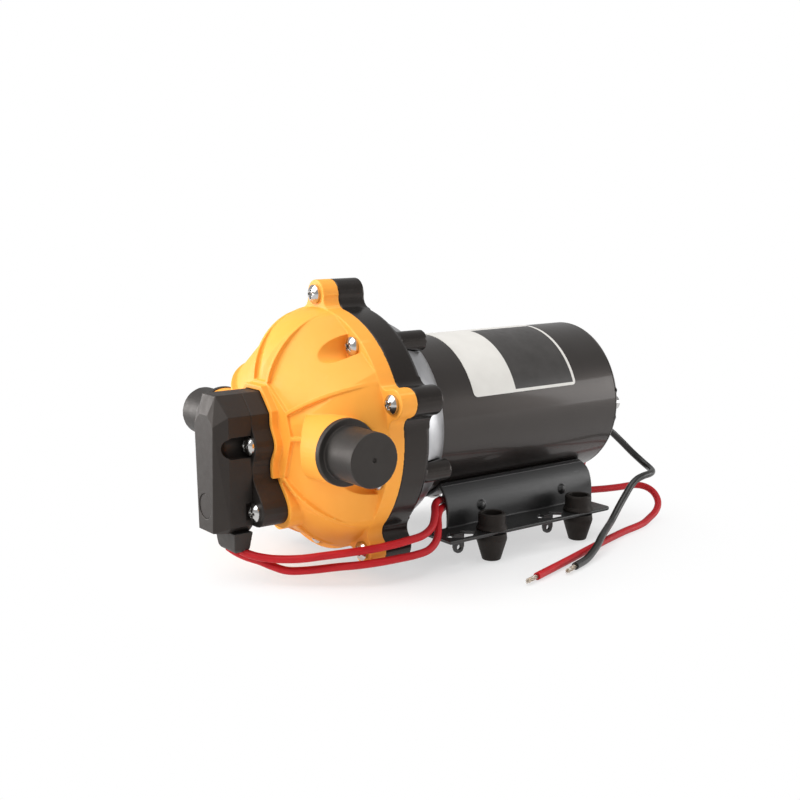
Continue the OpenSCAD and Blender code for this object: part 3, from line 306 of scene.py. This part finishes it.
def welded(node):
    """Copy of a CAD node's mesh with its triangles joined."""
    bm = bmesh.new()
    bm.from_mesh(NODES[node].data)
    bmesh.ops.remove_doubles(bm, verts=bm.verts, dist=WELD)
    return bm


def baked(obj, name):
    """Replaces an object's mesh by the result of its modifiers."""
    bpy.context.view_layer.update()
    evaluated = obj.evaluated_get(bpy.context.evaluated_depsgraph_get())
    mesh = bpy.data.meshes.new_from_object(evaluated)
    obj.modifiers.clear()
    obj.data = mesh
    mesh.name = name
    return obj


def copy_of(node, name, flat):
    """New object with the node's welded mesh, its flat faces merged if asked."""
    bm = welded(node)
    if flat:
        bmesh.ops.dissolve_limit(bm, angle_limit=math.radians(FLAT), verts=bm.verts, edges=bm.edges)
    mesh = bpy.data.meshes.new(name)
    bm.to_mesh(mesh)
    bm.free()
    return link(bpy.data.objects.new(name, mesh))


def moulded(node, voxel, passes, keep):
    """The node as a moulding: its edges rounded by a fine remesh and smoothing, then thinned to a share."""
    name = node + "_moulding"
    obj = copy_of(node, name, False)
    remesh = obj.modifiers.new("remesh", "REMESH")
    remesh.mode = "VOXEL"
    remesh.voxel_size = voxel * MM
    smooth = obj.modifiers.new("smooth", "SMOOTH")
    smooth.factor = 0.5
    smooth.iterations = passes
    thin = obj.modifiers.new("thin", "DECIMATE")
    thin.ratio = keep
    baked(obj, name)
    obj.data.shade_smooth()
    return stand_for(obj, node)


def weigh(mesh):
    """Bevel weights: 1 on the sharp edges."""
    weight = mesh.attributes.new("bevel_weight_edge", "FLOAT", "EDGE").data
    bm = bmesh.new()
    bm.from_mesh(mesh)
    bm.edges.ensure_lookup_table()
    for e in bm.edges:
        if len(e.link_faces) == 2 and e.calc_face_angle() > math.radians(BEVEL_FROM):
            weight[e.index].value = 1.0
    bm.free()


def even_normals(obj, angle):
    """Smooth shading with sharp edges above an angle, and normals that follow the larger faces."""
    obj.data.shade_smooth()
    obj.data.set_sharp_from_angle(angle=math.radians(angle))
    even = obj.modifiers.new("even", "WEIGHTED_NORMAL")
    even.keep_sharp = True


def bevelled(node, width, segments=2):
    """The node with a small round on its sharp edges."""
    name = node + "_piece"
    obj = copy_of(node, name, True)
    weigh(obj.data)
    bevel = obj.modifiers.new("bevel", "BEVEL")
    bevel.width = width * MM
    bevel.segments = segments
    bevel.limit_method = "WEIGHT"
    bevel.use_clamp_overlap = False
    bevel.miter_outer = "MITER_ARC"
    baked(obj, name)
    even_normals(obj, SHARP_FROM)
    return stand_for(obj, node)


def crisp(node):
    """The node with smooth curved faces and sharp edges."""
    obj = copy_of(node, node + "_piece", True)
    even_normals(obj, CRISP_FROM)
    return stand_for(obj, node)


def film(node, radius, thick, ends, angles, corner):
    """Thin film bent round the can, with round corners; angles in degrees from the top."""
    corner_steps, bends = 8, 48
    half_l = (ends[1] - ends[0]) / 2
    half_a = math.radians(angles[1] - angles[0]) / 2 * radius
    middle = (ends[0] + ends[1]) / 2, math.radians(sum(angles) / 2)
    edge = []
    for cx, cy, first in ((1, 1, 0), (-1, 1, 90), (-1, -1, 180), (1, -1, 270)):
        for k in range(corner_steps + 1):
            t = math.radians(first + k * 90 / corner_steps)
            along = cx * (half_l - corner) + corner * math.cos(t)
            edge.append((along, cy * (half_a - corner) + corner * math.sin(t)))
    bm = bmesh.new()
    bm.faces.new([bm.verts.new((x, y, 0)) for x, y in edge])
    for step in range(1, bends):
        at = -half_a + 2 * half_a * step / bends
        geom = list(bm.verts) + list(bm.edges) + list(bm.faces)
        bmesh.ops.bisect_plane(bm, geom=geom, plane_co=(0, at, 0), plane_no=(0, 1, 0))
    sheet = bmesh.ops.extrude_face_region(bm, geom=list(bm.faces))
    for v in sheet["geom"]:
        if isinstance(v, bmesh.types.BMVert):
            v.co.z = thick
    for v in bm.verts:
        turn = middle[1] + v.co.y / radius
        out = radius + v.co.z
        v.co = Vector((out * math.sin(turn), middle[0] + v.co.x, AXIS_Z / MM + out * math.cos(turn))) * MM
    bmesh.ops.recalc_face_normals(bm, faces=bm.faces)
    mesh = bpy.data.meshes.new("label_sheet")
    bm.to_mesh(mesh)
    bm.free()
    mesh.shade_smooth()
    mesh.set_sharp_from_angle(angle=math.radians(SHARP_FROM))
    return stand_for(link(bpy.data.objects.new("label_sheet", mesh)), node)


# Leads: the routes of the solids, in millimetres, as smooth curves
SUPPLY = [
    (-0.5, -141.5, 15.5), (3.1, -139.6, 13.6), (7.4, -136.9, 12), (12, -132.8, 10.4), (16, -129.4, 8.6),
    (21, -125, 7), (26.4, -118.6, 7.2), (35.2, -107.6, 8.9), (40.4, -101.6, 9.8), (44.8, -94, 10.7),
    (47, -84.4, 11.2), (47.6, -75, 11.4), (47.2, -67.6, 12.2), (45, -61.6, 15), (40, -56.6, 19),
    (33, -51, 22.2), (26.5, -43, 23.3), (24, -33, 23.4), (24, -14, 23), (24, 12, 22.2), (24.2, 30, 20.6),
    (25.6, 48, 17.8), (27.2, 63, 16.6), (28.4, 74, 16.2), (30, 83.8, 16.2), (32.5, 88.4, 15.3),
    (35.6, 90.9, 13.3), (38.8, 91.1, 10.6), (41.7, 89.3, 7.6), (44.1, 84.8, 4.8), (46.2, 78, 2.9),
    (49.8, 68.4, 2), (53.6, 51, 1.8), (61, 26, 1.8), (71.8, -7, 1.8), (80, -33, 1.8),
]
MOTOR = [
    (8.5, -140, 15.5), (12, -137.9, 14.4), (15.2, -135.3, 13.6), (19.4, -130.4, 12.8), (27, -122.4, 13.2),
    (33.4, -113.6, 14.5), (39.4, -104.4, 15.8), (44, -96, 16.9), (47, -87, 18), (47.8, -78, 18.8),
    (47.4, -71, 19.5), (45.2, -64.4, 21.6), (40, -58.6, 24.8), (32.5, -52.5, 26.8), (25, -44.5, 26.4),
    (20, -35, 24.6), (18, -14, 23.8), (16.4, 12, 23.2), (15, 28, 22.4), (13, 42, 20.8), (11.2, 53, 19.4),
    (8, 61.4, 18.9), (4.8, 67.8, 20.6), (2.6, 72.8, 25), (2, 74.6, 31.5), (2, 73.5, 35.8), (2, 70.4, 38.9),
    (2, 66.1, 40), (2, 62.5, 40),
]
NEGATIVE = [
    (20, 62.5, 48), (20, 67, 48), (20.8, 73.5, 45.1), (23, 78.9, 40), (27.1, 84.2, 33.3), (32.6, 86.9, 28.4),
    (37.5, 86.4, 26.4), (42.1, 83.2, 25.9), (45.1, 78.2, 25.9), (45.9, 72.6, 25.7), (46.1, 67.2, 24.5),
    (46.7, 62.4, 21.9), (47.9, 57.6, 18.5), (49.4, 51.7, 14.1), (53, 42.4, 8.6), (58, 34, 7.5),
    (64, 24.2, 6.4), (69.6, 14.8, 4.2), (75.2, 3, 2), (79.6, -9, 1.8),
]
LEAD_D = 3.5


def lead(name, node, route):
    """Smooth round lead through the route's points, with handles a third of each span."""
    points = [Vector(p) * MM for p in route]
    curve = bpy.data.curves.new(name, "CURVE")
    curve.dimensions = "3D"
    curve.bevel_depth = LEAD_D / 2 * MM
    curve.bevel_resolution = 6
    curve.resolution_u = 10
    curve.use_fill_caps = True
    spline = curve.splines.new("BEZIER")
    spline.bezier_points.add(len(points) - 1)
    last = len(points) - 1
    for i, (knot, p) in enumerate(zip(spline.bezier_points, points)):
        ahead = (points[min(i + 1, last)] - points[max(i - 1, 0)]).normalized()
        knot.handle_left_type = knot.handle_right_type = "FREE"
        knot.co = p
        knot.handle_left = p - ahead * ((p - points[max(i - 1, 0)]).length / 3)
        knot.handle_right = p + ahead * ((points[min(i + 1, last)] - p).length / 3)
    obj = link(bpy.data.objects.new(name, curve))
    return stand_for(obj, node)


def strands(name, route):
    """Twisted bundle of fine wires at a bared lead end."""
    inner, outer, inner_r, outer_r = 5, 8, 0.42, 0.82
    sides, rings, length = 6, 12, 9 * MM
    wire_r, twist, flare = 0.2 * MM, 1.5, 0.12
    circle = 2 * math.pi
    start, before = Vector(route[-1]) * MM, Vector(route[-2]) * MM
    ahead = (start - before).normalized()
    turn = ahead.to_track_quat("Z", "Y").to_matrix().to_4x4()
    place = Matrix.Translation(start) @ turn
    dice = random.Random(7)
    bm = bmesh.new()
    for w in range(1 + inner + outer):
        layer = 0.0 if w == 0 else (inner_r if w <= inner else outer_r)
        first = dice.random() * circle if w == 0 else w * circle / (inner if w <= inner else outer)
        cut = length * (0.9 + 0.1 * dice.random())
        loops = []
        for k in range(rings):
            t = k / (rings - 1)
            angle = first + twist * t
            out = layer * (1 + flare * t) * MM
            middle = Vector((out * math.cos(angle), out * math.sin(angle), cut * t))
            loops.append([
                bm.verts.new(place @ (middle + wire_r * Vector((math.cos(a), math.sin(a), 0))))
                for a in (j * circle / sides for j in range(sides))
            ])
        for lower, upper in zip(loops, loops[1:]):
            for j in range(sides):
                bm.faces.new((lower[j], lower[(j + 1) % sides], upper[(j + 1) % sides], upper[j]))
        bm.faces.new(list(reversed(loops[0])))
        bm.faces.new(loops[-1])
    bmesh.ops.recalc_face_normals(bm, faces=bm.faces)
    mesh = bpy.data.meshes.new(name)
    bm.to_mesh(mesh)
    bm.free()
    mesh.shade_smooth()
    return stand_for(link(bpy.data.objects.new(name, mesh)), "lead_strands")


supply = lead("supply_cord", "supply_lead", SUPPLY)
motor = lead("motor_cord", "motor_lead", MOTOR)
negative = lead("negative_cord", "negative_lead", NEGATIVE)
supply_tip = strands("supply_strands", SUPPLY)
negative_tip = strands("negative_strands", NEGATIVE)


# Mouldings take a voxel size in millimetres, smoothing passes and a share of faces; bevels a width and steps
moulded("front_housing", 0.3, 1, 0.2)
moulded("drive_housing", 0.45, 2, 0.4)
moulded("right_port_cap", 0.28, 3, 0.5)
moulded("left_port_cap", 0.28, 3, 0.5)
moulded("cable_boot", 0.25, 14, 0.6)
for foot in ("foot_front_right", "foot_front_left", "foot_rear_right", "foot_rear_left"):
    bevelled(foot, 0.35, 3)
moulded("switch_base", 0.22, 1, 0.3)
moulded("switch_cover", 0.22, 1, 0.3)
moulded("base_bracket", 0.32, 1, 0.22)
bevelled("switch_plug", 0.2)
bevelled("motor_front_cover", 0.4)
bevelled("motor_can", 0.2)
bevelled("motor_rear_cover", 0.3)
bevelled("lead_grommets", 0.5, 3)
for screws in ("lug_screws", "body_screws", "switch_screws", "bracket_screws", "through_bolts"):
    crisp(screws)
LABEL_LOW, LABEL_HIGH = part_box("rating_label")
FILM_R, FILM_T, FILM_ANGLES, FILM_CORNER = 38.03, 0.2, (-50, 71), 2.2
film("rating_label", FILM_R, FILM_T, (LABEL_LOW[1] / MM, LABEL_HIGH[1] / MM), FILM_ANGLES, FILM_CORNER)

# Floor, light and background, in metres
FLOOR = 6.0
FLOOR_GAP = 0.0002
SHADOW_AT = (0.0, -0.03, 0.0)
SHADOW_NEAR, SHADOW_FAR, SHADOW_SHARE = 0.06, 0.17, 0.55
FILL = 0.5


def white_rays(s):
    """1 for the rays that show the floor as backdrop: seen straight, mirrored or through glass."""
    path = s.node("ShaderNodeLightPath").outputs
    straight = s.math("MAXIMUM", path["Is Camera Ray"], path["Is Glossy Ray"])
    return s.math("MAXIMUM", straight, path["Is Transmission Ray"])


def floor():
    """Pale floor that goes over into the white backdrop away from the object and keeps the shadow near it."""
    bm = bmesh.new()
    bmesh.ops.create_grid(bm, x_segments=1, y_segments=1, size=FLOOR)
    mesh = bpy.data.meshes.new("floor")
    bm.to_mesh(mesh)
    bm.free()
    obj = link(bpy.data.objects.new("floor", mesh))
    obj.location.z = -FLOOR_GAP
    s = Shader("pale_floor")
    cloud = s.spread(s.noise(3.0), 0.0, 1.0)
    pale = s.mix(cloud, rgb(0.9, 0.9, 0.9), rgb(0.92, 0.92, 0.92))
    s.set(**{"Base Color": pale, "Roughness": 0.4, "spec": 0.3})
    glow = s.node("ShaderNodeEmission", {"Color": rgb(1, 1, 1), "Strength": 1.0}).outputs[0]
    off = s.node("ShaderNodeVectorMath", {0: s.coords, 1: SHADOW_AT}, operation="SUBTRACT").outputs[0]
    far = s.node("ShaderNodeVectorMath", {0: off}, operation="LENGTH").outputs["Value"]
    share = s.node("ShaderNodeMapRange", {
        "Value": far, "From Min": SHADOW_NEAR, "From Max": SHADOW_FAR, "To Min": SHADOW_SHARE, "To Max": 1.0,
    }, interpolation_type="SMOOTHSTEP").outputs[0]
    shown = s.math("MULTIPLY", share, white_rays(s))
    blend = s.node("ShaderNodeMixShader", {0: shown, 1: s.bsdf.outputs[0], 2: glow})
    s.tree.links.new(blend.outputs[0], s.tree.nodes["Material Output"].inputs["Surface"])
    obj.data.materials.append(s.mat)


def backdrop():
    """White where it is seen, and a plain soft fill as light."""
    world = bpy.data.worlds.new("studio")
    scene.world = world
    world.use_nodes = True
    tree = world.node_tree
    tree.nodes.clear()
    s = Nodes(tree)
    seen = s.node("ShaderNodeBackground", {"Color": rgb(1, 1, 1), "Strength": 1.0}).outputs[0]
    lit = s.node("ShaderNodeBackground", {"Color": rgb(1, 1, 1), "Strength": FILL}).outputs[0]
    path = s.node("ShaderNodeLightPath").outputs
    straight = s.math("MAXIMUM", path["Is Camera Ray"], path["Is Transmission Ray"])
    pick = s.node("ShaderNodeMixShader", {0: straight, 1: lit, 2: seen}).outputs[0]
    tree.links.new(pick, s.node("ShaderNodeOutputWorld").inputs[0])


def softbox(name, place, aim, size, power):
    """Rectangular studio light turned towards a point; sizes in metres, power in watts."""
    lamp = bpy.data.lights.new(name, "AREA")
    lamp.shape = "RECTANGLE"
    lamp.size, lamp.size_y = size
    lamp.energy = power
    obj = link(bpy.data.objects.new(name, lamp))
    obj.location = place
    obj.rotation_euler = (Vector(place) - Vector(aim)).to_track_quat("Z", "Y").to_euler()


floor()
backdrop()
MIDDLE = (0.0, -0.04, 0.06)
softbox("key", (-0.35, -1.05, 0.9), MIDDLE, (1.0, 1.0), 14)
softbox("front", (-1.0, -0.8, 0.2), MIDDLE, (0.8, 0.4), 8)
softbox("side", (0.7, 1.12, 0.26), MIDDLE, (0.7, 0.6), 4.6)
softbox("top", (0.1, -0.2, 1.2), MIDDLE, (1.2, 1.2), 8)
